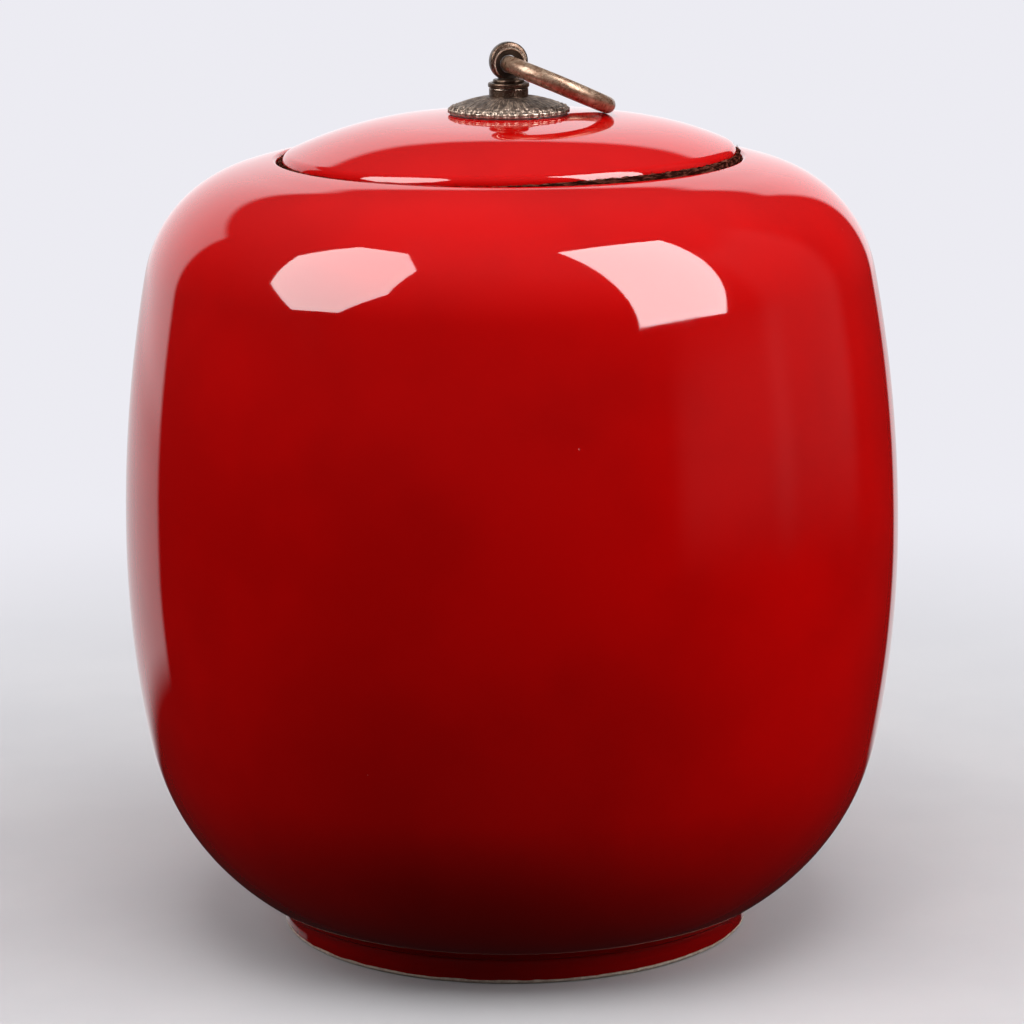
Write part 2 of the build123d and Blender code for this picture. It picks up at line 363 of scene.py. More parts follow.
class Paint(Nodes):
    """The nodes of a surface material. Positions are in millimetres."""

    def __init__(self, name):
        self.material = bpy.data.materials.new(name)
        super().__init__(self.material)
        self.shader = self.tree.nodes["Principled BSDF"]
        metres = self.node("ShaderNodeTexCoord").outputs["Object"]
        self.place = self.times(metres, (1 / METRES,) * 3)
        self.parts = self.node("ShaderNodeSeparateXYZ", self.place).outputs

    def times(self, place, factors):
        """A place with its x, y and z each multiplied by its own factor."""
        return self.node("ShaderNodeVectorMath", place, factors, operation="MULTIPLY").outputs[0]

    def noise(self, size, detail=2.0, rough=0.5, place=None, warp=0.0):
        """Noise from 0 to 1 with features of about that size."""
        made = self.node("ShaderNodeTexNoise", place or self.place)
        self.fill(made, {"Scale": 1 / size, "Detail": detail, "Roughness": rough, "Distortion": warp})
        return made.outputs[0]

    def cells(self, size):
        """Distance from the nearest of the scattered points, in cells, and that point's own colour."""
        made = self.node("ShaderNodeTexVoronoi", self.place)
        self.fill(made, {"Scale": 1 / size})
        return made.outputs["Distance"], made.outputs["Color"]

    def mix(self, share, a, b):
        """Colour a where share is 0, b where it is 1."""
        made = self.node("ShaderNodeMix", share, data_type="RGBA")
        for socket, value in ((made.inputs[6], a), (made.inputs[7], b)):
            self.put(socket, value if isinstance(value, bpy.types.NodeSocket) else (*value, 1.0))
        return made.outputs[2]

    def attribute(self, name):
        return self.node("ShaderNodeAttribute", attribute_name=name).outputs["Fac"]

    def bump(self, height, depth, below=None):
        """The normal over a relief depth millimetres deep, on top of the normal below."""
        made = self.node("ShaderNodeBump")
        self.fill(made, {"Height": height, "Distance": depth * METRES, "Normal": below})
        return made.outputs[0]

    def finish(self, colour, roughness, relief=None, metallic=0.0, **others):
        """Sets the shader's inputs, and gives the material."""
        self.fill(self.shader, {"Base Color": colour, "Roughness": roughness, "Metallic": metallic,
                                "Normal": relief, **others})
        return self.material


GLAZE_RED = (0.56, 0.0010, 0.0008)
GLAZE_DEEP = (0.47, 0.0007, 0.0006)
# Painted shade for the red glaze low on the jar, towards the foot
GLAZE_PAINTED_SHADE = (0.12, 0.0010, 0.0008)
CLAY = (0.55, 0.42, 0.34)
CLAY_DARK = (0.38, 0.27, 0.21)


def red_glaze():
    """Glossy red glaze: slow changes of tone, scattered pinholes, painted shade low down towards the foot,
    and a bare line at the foot.
    """
    paint = Paint("red_glaze")
    tone = paint.noise(45, 3)
    fine = paint.noise(1.4, 4)
    red = paint.mix(paint.step(tone, 0.35, 0.7), GLAZE_RED, GLAZE_DEEP)
    far, own = paint.cells(9)
    picked = paint.step(own, 0.62, 0.64)
    pin = paint.maths("MULTIPLY", paint.step(far, 0.016, 0.028, 1, 0), picked)
    red = paint.mix(paint.maths("MULTIPLY", pin, 0.5), red, (0.55, 0.05, 0.05))
    # Painted shade: the glaze darkens from 8 mm down to 1.5 mm above the underside, towards the foot
    red = paint.mix(paint.step(paint.parts["Z"], 1.5, 8.0, 0.7, 0), red, GLAZE_PAINTED_SHADE)
    edge = paint.maths("ADD", paint.parts["Z"], paint.step(paint.noise(7, 3), 0.3, 0.7, -0.12, 0.12))
    bare = paint.step(edge, 0.85, 1.1, 1, 0)
    clay = paint.mix(paint.step(fine, 0.35, 0.65), CLAY, CLAY_DARK)
    colour = paint.mix(bare, red, clay)
    rough = paint.step(paint.noise(12, 5), 0.35, 0.75, 0.028, 0.05)
    rough = paint.maths("ADD", rough, paint.maths("MULTIPLY", bare, 0.6))
    rough = paint.maths("ADD", rough, paint.maths("MULTIPLY", pin, 0.25))
    relief = paint.bump(paint.noise(6, 2), 0.006)
    relief = paint.bump(paint.noise(0.9, 2), 0.0006, relief)
    relief = paint.bump(pin, -0.04, relief)
    return paint.finish(colour, rough, relief, IOR=1.54)


def white_glaze():
    """Clear glaze over pale porcelain, with faint grey iron specks."""
    paint = Paint("white_glaze")
    tone = paint.noise(30, 3)
    far, own = paint.cells(6)
    speck = paint.maths("MULTIPLY", paint.step(far, 0.015, 0.03, 1, 0), paint.step(own, 0.55, 0.57))
    pale = paint.mix(paint.step(tone, 0.3, 0.7), (0.72, 0.71, 0.66), (0.66, 0.66, 0.63))
    colour = paint.mix(speck, pale, (0.20, 0.15, 0.11))
    rough = paint.step(paint.noise(8, 4), 0.35, 0.75, 0.05, 0.11)
    relief = paint.bump(paint.noise(5, 2), 0.01)
    relief = paint.bump(paint.noise(0.9, 2), 0.001, relief)
    return paint.finish(colour, rough, relief, IOR=1.5)


def bare_clay():
    """Unglazed fired porcelain body: matt, sandy and a little stained."""
    paint = Paint("bare_clay")
    colour = paint.mix(paint.step(paint.noise(4, 5), 0.3, 0.7), CLAY, CLAY_DARK)
    relief = paint.bump(paint.noise(0.35, 4, 0.7), 0.03)
    relief = paint.bump(paint.noise(3, 3), 0.05, relief)
    rough = paint.step(paint.noise(1, 3), 0.3, 0.7, 0.7, 0.95)
    return paint.finish(colour, rough, relief)


def felt(name, dark, light):
    """Matted fibre: streaks that run round the jar, in two tones."""
    paint = Paint(name)
    streak = paint.times(paint.place, (1.0, 1.0, 5.0))
    strand = paint.noise(2.2, 5, 0.6, streak, 0.5)
    clump = paint.noise(2.5, 3)
    colour = paint.mix(paint.step(strand, 0.46, 0.60), dark, light)
    colour = paint.mix(paint.step(clump, 0.45, 0.75, 0, 0.5), colour, dark)
    relief = paint.bump(strand, 0.3)
    rough = paint.step(clump, 0.3, 0.7, 0.8, 1.0)
    return paint.finish(colour, rough, relief, **{"Specular IOR Level": 0.0})


def rubber(name, dark, light):
    """Moulded soft pad: fine mottling and a matt skin."""
    paint = Paint(name)
    colour = paint.mix(paint.step(paint.noise(1.5, 4), 0.35, 0.7), dark, light)
    relief = paint.bump(paint.noise(0.25, 3), 0.015)
    rough = paint.step(paint.noise(0.8, 3), 0.3, 0.7, 0.55, 0.8)
    return paint.finish(colour, rough, relief)


def bronze(name, dark, brown, worn, wear, cavity, rough, grain):
    """Patinated bronze. Bulging edges wear towards bright metal from curvature wear[0] to wear[1], and
    hollows darken with patina below cavity. Rough is the roughness when worn and when patinated. A mesh
    can also carry painted shade, which darkens it, and a streak attribute, which lightens it: real streaks
    on the rosette's dome, and a painted highlight round the eye's hole."""
    paint = Paint(name)
    curve = paint.attribute("curve")
    blotch = paint.noise(1.6, 5, 0.65)
    fine = paint.noise(0.22, 4, 0.7)
    uneven = paint.maths("MULTIPLY", paint.step(blotch, 0.3, 0.7, -1, 1), (wear[1] - wear[0]) * 0.5)
    rubbed = paint.step(paint.maths("ADD", curve, uneven), wear[0], wear[1])
    rubbed = paint.maths("MULTIPLY", rubbed, paint.step(fine, 0.3, 0.6, 0.45, 1.0))
    # Dark patina in the hollows, and painted shade where the mesh carries it
    hollow = paint.maths("MAXIMUM", paint.step(curve, cavity, 0.0, 1, 0), paint.attribute("painted_shade"))
    colour = paint.mix(paint.step(blotch, 0.36, 0.64), dark, brown)
    colour = paint.mix(paint.step(paint.attribute("streak"), 0.0, 0.5, 0, 0.6), colour, worn)
    colour = paint.mix(paint.step(fine, 0.5, 0.72, 0, 0.5), colour, worn)
    colour = paint.mix(rubbed, colour, worn)
    colour = paint.mix(paint.maths("MULTIPLY", hollow, 0.85), colour, tuple(c * 0.25 for c in dark))
    shine = paint.step(rubbed, 0, 1, rough[1], rough[0])
    shine = paint.maths("ADD", shine, paint.step(fine, 0.3, 0.7, -0.06, 0.08))
    relief = paint.bump(fine, grain)
    relief = paint.bump(blotch, grain * 1.5, relief)
    metal = paint.maths("SUBTRACT", 1.0, paint.maths("MULTIPLY", hollow, 0.5))
    return paint.finish(colour, shine, relief, metal)


def ring_metal():
    """Copper-brown bronze of the pull ring, handled smooth, with a redder patina in patches."""
    paint = Paint("ring_bronze")
    blotch = paint.noise(2.6, 5, 0.6, warp=0.6)
    fine = paint.noise(0.28, 5, 0.7)
    colour = paint.mix(paint.step(blotch, 0.36, 0.62), (0.19, 0.105, 0.062), (0.33, 0.225, 0.155))
    colour = paint.mix(paint.step(paint.noise(1.0, 4), 0.5, 0.66, 0, 0.7), colour, (0.15, 0.068, 0.034))
    colour = paint.mix(paint.step(fine, 0.52, 0.72, 0, 0.4), colour, (0.08, 0.045, 0.028))
    rough = paint.step(paint.noise(0.9, 4), 0.3, 0.7, 0.24, 0.40)
    relief = paint.bump(fine, 0.02)
    relief = paint.bump(blotch, 0.06, relief)
    return paint.finish(colour, rough, relief, 0.45)


def steel():
    """Zinc-bright steel with turning marks round the hole and a little tarnish."""
    paint = Paint("steel")
    x, y, _ = paint.parts
    square = paint.maths("ADD", paint.maths("MULTIPLY", x, x), paint.maths("MULTIPLY", y, y))
    marks = paint.maths("SINE", paint.maths("MULTIPLY", paint.maths("SQRT", square), 38.0))
    tarnish = paint.noise(1.3, 5, 0.6)
    colour = paint.mix(paint.step(tarnish, 0.4, 0.7), (0.58, 0.57, 0.54), (0.33, 0.30, 0.26))
    rough = paint.step(tarnish, 0.3, 0.7, 0.26, 0.45)
    relief = paint.bump(marks, 0.006)
    relief = paint.bump(paint.noise(0.3, 3), 0.008, relief)
    return paint.finish(colour, rough, relief, 1.0)


# ---------------------------------------------------------------- porcelain

def jar_outline():
    """The jar's outline from the middle of its underside out, up, over the lip and back in to the middle
    of its floor, with the finish of each step: 0 red glaze, 1 white glaze, 2 bare clay."""
    up = arc_run((BELLY_R, BELLY_Z), 0, UPPER_ARCS, 1.3)
    down = arc_run((BELLY_R, BELLY_Z), 0, LOWER_ARCS, 1.3)
    foot_r = down[-1][0]
    foot_inner_r = foot_r - FOOT_WIDTH
    lip_r = up[-1][0]
    inner_up = [(r - WALL, tilt) for r, tilt in UPPER_ARCS[:2]]
    side = arc_run((BELLY_R - WALL, BELLY_Z), 0, inner_up[:1], 6)
    ceiling_z = LEDGE_Z - LEDGE_THICKNESS
    shoulder_r, shoulder_tilt = inner_up[1][0], inner_up[0][1]
    shoulder_z = side[-1][1] - shoulder_r * sin(radians(shoulder_tilt))
    ceiling_tilt = degrees(asin((ceiling_z - shoulder_z) / shoulder_r))
    shoulder = arc_run(side[-1], shoulder_tilt, [(shoulder_r, ceiling_tilt)], 2)
    inner_down = [(r - WALL, tilt) for r, tilt in LOWER_ARCS[:2]] + [(FLOOR_ARC, -90)]
    base = arc_run((BELLY_R - WALL, BELLY_Z), 0, inner_down, 4)
    foot = rounded([(0, FOOT_RECESS), (foot_inner_r, FOOT_RECESS, 1.2), (foot_inner_r, 0, FOOT_EDGE),
                    (foot_r, 0, FOOT_EDGE), tuple(down[-1])], 2)
    mouth = rounded([(lip_r, up[-1][1]), (lip_r, LEDGE_Z, 0.5), (THROAT_R, LEDGE_Z, THROAT_EDGE),
                     (THROAT_R, ceiling_z, THROAT_EDGE), tuple(shoulder[-1])], 1)
    floor = rounded([tuple(base[-1]), (0, base[-1][1])], 4)
    outside = foot + down[-2::-1] + up[1:]
    outline = outside + mouth[1:] + shoulder[-2::-1] + side[-2::-1] + base[1:] + floor[1:]
    points = np.array(outline)
    middle = (points[1:] + points[:-1]) / 2
    index = np.arange(len(middle))
    finish = np.ones(len(middle), int)
    finish[(index >= len(foot) // 2) & (index < len(outside) + 3)] = 0
    finish[(middle[:, 0] > foot_r - 0.3) & (middle[:, 1] > FOOT_EDGE * 0.4) & (index < len(foot))] = 0
    finish[(middle[:, 1] < FOOT_EDGE * 0.4) & (index < len(foot))] = 2
    on_ledge = (abs(middle[:, 1] - LEDGE_Z) < 0.3) & (index >= len(outside)) & (middle[:, 0] > THROAT_R)
    finish[on_ledge & (index < len(outside) + len(mouth))] = 2
    return points, finish, (len(foot), len(outside))


def uneven(points, share, size, seed, octaves=1):
    """Moves each point in or out from the axis, by noise of that share of its distance."""
    points[:, :2] *= (1 + share * noise_at(points, size, seed, octaves))[:, None]


def wavy(points, directions, weight, depth, size, seed):
    """Points moved along their directions by slow noise depth millimetres high."""
    return points + directions * (noise_at(points, size, seed, 2) * weight * depth)[:, None]


def outward(outline, segments):
    """The outline's own outward normal at each turned point."""
    ahead = np.roll(outline, -1, 0) - np.roll(outline, 1, 0)
    ahead[0] = outline[1] - outline[0]
    ahead[-1] = outline[-1] - outline[-2]
    ahead /= np.maximum(np.linalg.norm(ahead, axis=1), 1e-9)[:, None]
    angle = np.arange(segments) * 2 * pi / segments
    r, z = ahead[:, 1, None], -ahead[:, 0, None]
    return np.stack([r * np.cos(angle), r * np.sin(angle), z * np.ones_like(angle)], -1).reshape(-1, 3)


def jar():
    """Jar: red outside, white glaze inside, bare clay on the ledge and under the foot. Its side waves a
    little between foot and mouth."""
    segments = PORCELAIN_PARTS
    outline, finish, (first, last) = jar_outline()
    points, quads, step = turn(outline, segments, False)
    index = np.arange(len(outline))
    z = outline[:, 1]
    weight = ((index > first) & (index < last)) * smooth(6, 20, z) * (1 - smooth(186, 190, z))
    weight = np.repeat(weight, segments)
    points = wavy(points, outward(outline, segments), weight, depth=0.035, size=38, seed=3.1)
    mesh = mesh_of("jar", points, quads, finish[step])
    show("jar", mesh, "jar", PORCELAIN, node="jar_body")


def rim_lift(angle):
    """How far the lid's rim stands above its CAD height at that angle: it sits low on one side, where the
    gasket is squeezed, and high on the other."""
    return LID_LEAN * np.cos(angle - radians(CAMERA_TURN)) - LID_SINK


def lid():
    """Domed lid: red above, white glaze inside, bare clay where it rests and on its spigot. Its rim sits
    askew, its crown is level under the finial and the ring, and it waves a little between them."""
    segments = PORCELAIN_PARTS
    crown_share = (LID_CROWN_ARC - LID_FLANK_ARC) * cos(radians(LID_CROWN_TILT))
    flank_tilt = degrees(acos((LID_R - LID_RIM_ARC - crown_share) / (LID_FLANK_ARC - LID_RIM_ARC)))
    arcs = [(LID_RIM_ARC, flank_tilt), (LID_FLANK_ARC, LID_CROWN_TILT), (LID_CROWN_ARC, 90)]
    top = arc_run((LID_R, LID_EDGE_Z), 0, arcs, 0.7)
    lid_top = top[-1][1]
    top = [p for p in top if p[0] > LID_HOLE_R + 0.5]
    flank_end = arc_run((LID_R, LID_EDGE_Z), 0, arcs[:2], 60)[-1]
    inner_r = SPIGOT_R - SPIGOT_WIDTH
    flank = LID_FLANK_ARC - LID_THICKNESS
    flank_centre = flank_end - normal(LID_CROWN_TILT) * LID_FLANK_ARC
    start_tilt = degrees(acos((inner_r - flank_centre[0]) / flank))
    start = flank_centre + normal(start_tilt) * flank
    under = arc_run(start, start_tilt, [(flank, LID_CROWN_TILT), (LID_CROWN_ARC - LID_THICKNESS, 90)], 2)
    under_top = under[-1][1]
    under = [p for p in under if p[0] > LID_HOLE_R + 0.5]
    rim = arc_run((LID_R, LID_EDGE_Z), 0, [(LID_EDGE_ARC, -90)], 0.7)
    rest_z = LID_EDGE_Z - LID_EDGE_ARC
    spigot = rounded([tuple(rim[-1]), (SPIGOT_R, rest_z, 0.8), (SPIGOT_R, LID_LOW[2], SPIGOT_EDGE),
                      (inner_r, LID_LOW[2], SPIGOT_EDGE), tuple(start)], 1.5)
    hole = rounded([tuple(under[-1]), (LID_HOLE_R, under_top, 0.3), (LID_HOLE_R, lid_top, 0.3),
                    tuple(top[-1])], 1)
    outline = np.array(top[::-1] + rim[1:] + spigot[1:] + under[1:] + hole[1:-1])
    index = np.arange(len(outline))
    steps = np.cumsum([len(top), len(rim), len(spigot)])
    red_end, bare_end = steps[1:] - LID_BARE_STEPS
    finish = np.where(index < red_end, 0, np.where(index < bare_end, 2, 1))
    points, quads, step = turn(outline, segments, True)
    weight = (index < steps[0] - 6) * smooth(16, 22, outline[:, 0]) * (1 - smooth(50, 53, outline[:, 0]))
    weight = np.repeat(weight, segments)
    points = wavy(points, outward(outline, segments), weight, depth=0.03, size=24, seed=9.7)
    r, angle = polar(points)
    points[:, 2] += smooth(LID_LEVEL_R, LID_R, r) * rim_lift(angle)
    mesh = mesh_of("lid", points, quads, finish[step])
    show("lid", mesh, "lid", PORCELAIN)


# ---------------------------------------------------------------- gasket

def gasket_top(angle):
    """Height of the ragged fibre edge at each angle. It stands proud of the mouth from just right of the
    front to the right side, and is tucked into the gap all the way round the rest."""
    right = (np.degrees(angle) - CAMERA_TURN + 90 + 180) % 360 - 180
    proud = smooth(-10, 30, right) * (1 - smooth(92, 108, right))
    around = np.stack([np.cos(angle), np.sin(angle), 0 * angle], -1) * GASKET_HIGH[0]
    ragged = 0.20 * noise_at(around, 2.2, 5.0, 2) + 0.22 * noise_at(around, 0.7, 8.0, 2)
    edge = GASKET_TUCKED_Z + proud * GASKET_PROUD
    lean = np.maximum(rim_lift(angle) + LID_SINK, -0.3)
    return edge + lean * 0.6 + ragged * (0.4 + 0.6 * proud)


def gasket():
    """Felt ring of L section with a ragged upper edge and loose fibres along it."""
    segments = GASKET_PARTS
    low, high = GASKET_LOW[2], GASKET_HIGH[2]
    outer, inner = GASKET_HIGH[0], GASKET_BORE_R
    flat_z = LID_EDGE_Z - LID_EDGE_ARC - GASKET_GAP
    upstand = outer - GASKET_UPSTAND
    outline = np.array(rounded([
        (inner, low, 0.4), (outer, low, 0.4), (outer, high, 0.25), (upstand, high, 0.25),
        (upstand, flat_z), (inner, flat_z, 0.3), (inner, low)], 0.5)[:-1])
    points, quads, _ = turn(outline, segments, True)
    angle = np.tile(np.arange(segments) * 2 * pi / segments, len(outline))
    share = smooth(flat_z + 0.2, high, points[:, 2])
    points[:, 2] += share * (gasket_top(angle) - high)
    points[:, 2] += (1 - share) * smooth(low, flat_z, points[:, 2]) * rim_lift(angle)
    along = np.stack([angle * outer / 4.0, points[:, 2] * 1.8, 0 * angle], -1)
    strands = noise_at(along, 1.0, 2.0, 3) * 0.26 - 0.08
    points[:, :2] *= (1 + strands * share / outer)[:, None]
    fibre_points, fibre_quads = fibres(FIBRES, upstand, outer)
    quads = np.vstack([quads, fibre_quads + len(points)])
    mesh = mesh_of("lid_gasket", np.vstack([points, fibre_points]), quads)
    show("lid_gasket", mesh, "seal", [FELT])


def fibres(count, inner, outer):
    """Loose hairs along the gasket's upper edge, each a thin tapered tube with three sides."""
    rng = np.random.default_rng(21)
    points, quads = [], []
    sides, joints = 3, 5
    for _ in range(count):
        angle = rng.uniform(0, 2 * pi)
        r = rng.uniform(inner + 0.15, outer - 0.1)
        length = rng.uniform(0.5, 1.9)
        lean = rng.choice([-1, 1]) * rng.uniform(0.7, 1.45)
        out = rng.uniform(-0.15, 0.35)
        curl = rng.uniform(-0.6, 0.6)
        thick = rng.uniform(0.025, 0.05)
        z = gasket_top(np.array([angle]))[0] - rng.uniform(0.1, 0.7)
        start = len(points)
        for k in range(joints):
            t = k / (joints - 1)
            swing = angle + length * t * sin(lean) / r
            height = z + length * (t * cos(lean) + curl * t * t * 0.4)
            reach = min(r + out * length * t * t, outer + 0.12)
            girth = thick * (1 - 0.75 * t)
            for s in range(sides):
                a = 2 * pi * s / sides
                rr = reach + girth * cos(a)
                turned = swing + girth * sin(a) * 0.3 / r
                points.append((rr * cos(turned), rr * sin(turned), height + girth * sin(a)))
        for k in range(joints - 1):
            for s in range(sides):
                a, b = start + k * sides + s, start + k * sides + (s + 1) % sides
                quads.append((a, b, b + sides, a + sides))
    return np.array(points), np.array(quads)


# ---------------------------------------------------------------- finial

def rosette_relief(points, angle, r):
    """Height of the cast relief over the rosette's dome: lace holes and worn lumps round the rim, a second
    row of pits, a thin ring, veins that run up the dome, and casting grain. Also the painted shade in the
    lace holes and pits, and how light the streaks up the dome are."""
    pitch = 2 * pi / BEADS
    near_hole = (angle + pitch / 2) % pitch - pitch / 2
    near_lump = angle % pitch - pitch / 2

    def spot(centre_r, off, size):
        return np.exp(-((r - centre_r) ** 2 + (off * r) ** 2) / size ** 2)

    relief = -0.70 * spot(LACE_R, near_hole, 0.46)
    relief += 0.30 * spot(LUMP_R, near_lump, 0.62)
    relief -= 0.36 * spot(PIT_R, near_lump, 0.36)
    # Painted shade in the lace holes and the pits
    painted_shade = np.clip(1.5 * spot(LUMP_R, near_hole, 0.42) + 1.1 * spot(PIT_R, near_lump, 0.30), 0, 1)
    relief += 0.10 * np.exp(-((r - THIN_RING_R) / 0.2) ** 2)
    vein = np.abs(np.sin(angle * BEADS / 2 + 0.5 * np.sin(r * 0.9)))
    window = smooth(5.4, 7.0, r) * (1 - smooth(11.3, 12.2, r))
    relief += window * (0.16 * vein ** 0.6 - 0.10)
    grain = noise_at(points, 0.55, 1.5, 2) * 0.045 + noise_at(points, 1.5, 4.5) * 0.05
    streak = noise_at(np.stack([angle * 60, r * 0.9, 0 * r], -1), 2.2, 6.5, 2) * smooth(5.2, 6.0, r)
    return relief + grain + streak * 0.06, painted_shade, streak


def rosette():
    """Cast escutcheon: a dome with a lace rim, hollow underneath."""
    segments = ROSETTE_PARTS
    low, seat_z = ROSETTE_LOW[2], ROSETTE_HIGH[2]
    rim_r = ROSETTE_HIGH[0]
    rim_start = (rim_r - 2 * ROSETTE_RIM, low + 0.05)
    rim_top = (rim_r, low + ROSETTE_RIM)
    ceiling = (ROSETTE_SEAT_R - ROSETTE_WALL, seat_z - ROSETTE_WALL)
    dome = dome_arc(rim_top, (ROSETTE_SEAT_R, seat_z), ROSETTE_DOME, 0.14)
    hollow = dome_arc(rim_start, ceiling, ROSETTE_DOME - ROSETTE_WALL, 0.8)
    seat = rounded([(ROSETTE_SEAT_R, seat_z), (BORE_R, seat_z, 0.2), (BORE_R, ceiling[1], 0.2),
                    ceiling], 0.6)
    foot = rounded([rim_start, (rim_r, low, 0.15), rim_top], 0.3)
    outline = np.array(dome[:-1] + seat[:-1] + hollow[::-1][:-1] + foot[:-1])
    points, quads, _ = turn(outline, segments, True)
    r, angle = polar(points)
    angle %= 2 * pi
    on_top = np.repeat(np.arange(len(outline)) < len(dome) - 1, segments)
    relief, painted_shade, streak = rosette_relief(points, angle, r)
    relief *= on_top * smooth(ROSETTE_SEAT_R, ROSETTE_SEAT_R + 0.5, r)
    relief *= 1 - 0.7 * smooth(14.45, 14.8, r)
    points += outward(outline, segments) * relief[:, None]
    notch = 0.5 - 0.5 * np.cos(angle * BEADS)
    points[:, :2] *= (1 - 0.42 / rim_r * notch ** 2 * smooth(13.6, 14.7, r))[:, None]
    mesh = mesh_of("rosette", points, quads)
    store_curvature(mesh, 2)
    store(mesh, "painted_shade", painted_shade * on_top)
    store(mesh, "streak", streak * on_top)
    show("rosette", mesh, "lid", [ROSETTE_BRONZE])


def dome_arc(start, end, radius, step):
    """Points along an arc of that radius from start inwards to end, bulging up."""
    start, end = np.array(start, float), np.array(end, float)
    chord = end - start
    length = np.linalg.norm(chord)
    out = np.array([chord[1], -chord[0]]) / length
    centre = (start + end) / 2 - out * sqrt(radius ** 2 - (length / 2) ** 2)
    first = degrees(atan2(*(start - centre)[::-1]))
    last = degrees(atan2(*(end - centre)[::-1]))
    return arc_run(start, first, [(radius, last)], step)


def pad():
    """Thin soft ring under the rosette's rim, bent to the lid's crown."""
    inner, outer = PAD_BORE_R, PAD_HIGH[0]
    lift = PAD_HIGH[2] - PAD_LOW[2]
    drop = (outer ** 2 - inner ** 2) / (2 * LID_CROWN_ARC)
    thick = lift - drop
    low, high = PAD_LOW[2], PAD_LOW[2] + thick
    outline = rounded([(inner, low + drop, 0.1), (outer, low, 0.1), (outer, high, 0.1),
                       (inner, high + drop, 0.1), (inner, low + drop)], 0.4)
    points, quads, _ = turn(outline[:-1], 256, True)
    uneven(points, share=0.004, size=1.5, seed=2.5)
    show("rosette_pad", mesh_of("rosette_pad", points, quads), "lid", [PAD])


def collar():
    """Turned collar: a drum, a groove, and a lip that is dished on top for the neck."""
    low, high = COLLAR_LOW[2], COLLAR_HIGH[2]
    lip_r = COLLAR_HIGH[0]
    lip_z = high - COLLAR_LIP_HEIGHT
    dish_z = high - COLLAR_DISH_DEPTH
    groove_r = DRUM_R - 0.18
    outline = rounded([
        (BORE_R, low, 0.1), (DRUM_R, low, 0.15), (DRUM_R, lip_z - 0.3, 0.1),
        (groove_r, lip_z - 0.16, 0.08), (groove_r, lip_z - 0.02, 0.06), (lip_r, lip_z + 0.05, 0.2),
        (lip_r, high, 0.38), (COLLAR_DISH_R + 0.1, high, 0.1), (COLLAR_DISH_R, dish_z, 0.05),
        (BORE_R, dish_z, 0.1), (BORE_R, low)], 0.1)
    points, quads, _ = turn(outline[:-1], 256, True)
    uneven(points, share=0.004, size=0.7, seed=3.5, octaves=2)
    mesh = mesh_of("collar", points, quads)
    store_curvature(mesh, 3)
    show("collar", mesh, "lid", [BRONZE])


def eye_bolt():
    """Eye, neck ring and shank fused into one casting, with a thread at the foot of the shank. The eye's
    hole is flared, sits low, and is a little flat at its top. Painted shade darkens the hole, and a
    painted highlight lightens the rim round it."""
    half = EYE_WIDTH / 2
    deep = half - FUNNEL_DEPTH
    eye = rounded([
        (EYE_HOLE_R, 0), (EYE_HOLE_R, deep, 0.4), (FUNNEL_R, half, 0.16), (EYE_R, half, 0.85),
        (EYE_R, -half, 0.85), (FUNNEL_R, -half, 0.16), (EYE_HOLE_R, -deep, 0.4), (EYE_HOLE_R, 0)], 0.08)
    points, quads, _ = turn(eye[:-1], 200, True)
    share = 1 - smooth(FUNNEL_R, EYE_R, polar(points)[0])
    points[:, 1] -= EYE_HOLE_DROP * share
    off_hole = np.hypot(points[:, 0], points[:, 1] + EYE_HOLE_DROP)
    near_hole = 1 - smooth(EYE_HOLE_R + 0.1, EYE_HOLE_R + 0.9, off_hole)
    points[:, 1] -= EYE_SAG * near_hole * np.clip((points[:, 1] + EYE_HOLE_DROP) / EYE_HOLE_R, 0, 1)
    points = points @ np.array(Matrix.Rotation(radians(90), 3, "X")).T + (0, 0, EYE_Z)
    parts = [(points, quads)]
    neck_z = COLLAR_HIGH[2]
    saddle_z = neck_z + NECK_HEIGHT
    neck = rounded([
        (0, neck_z - 0.1), (NECK_R, neck_z - 0.1, 0.25), (NECK_R, saddle_z, 0.3), (2.9, saddle_z, 0.2),
        (2.3, saddle_z + 0.35, 0.3), (0, saddle_z + 0.35)], 0.2)
    parts.append(turn(neck, 96, False)[:2])
    threaded_to = NUT_HIGH[2] + 0.5
    column = rounded([(0, BOLT_LOW[2]), (SHANK_R, BOLT_LOW[2], 0.3), (SHANK_R, neck_z + 0.3),
                      (0, neck_z + 0.3)], 0.09)
    points, quads, _ = turn(column, 72, False)
    r, angle = polar(points)
    phase = (points[:, 2] / THREAD_PITCH - angle / (2 * pi)) % 1
    cut = THREAD_DEPTH * np.abs(2 * phase - 1) * smooth(threaded_to, threaded_to - 0.6, points[:, 2])
    cut = cut * smooth(SHANK_R - 0.5, SHANK_R - 0.05, r)
    points[:, :2] *= (1 - cut / np.maximum(r, 0.1))[:, None]
    parts.append((points, quads))
    mesh = fused("eye_bolt", parts, EYE_VOXEL)
    store_curvature(mesh, 3)
    across, _, height = (points_of(mesh) - (0, 0, EYE_Z - EYE_HOLE_DROP)).T
    off_hole = np.hypot(across, height)
    # Painted shade inside the eye's flared hole
    store(mesh, "painted_shade", 1 - smooth(FUNNEL_R - 0.25, FUNNEL_R - 0.05, off_hole))
    # Painted highlight on the rim round the hole, in the worn metal's colour, left off its bottom
    store(mesh, "streak", np.exp(-((off_hole - FUNNEL_R - 0.12) / 0.15) ** 2) * (height > -2.5))
    show("eye_bolt", mesh, "lid", [BRONZE])


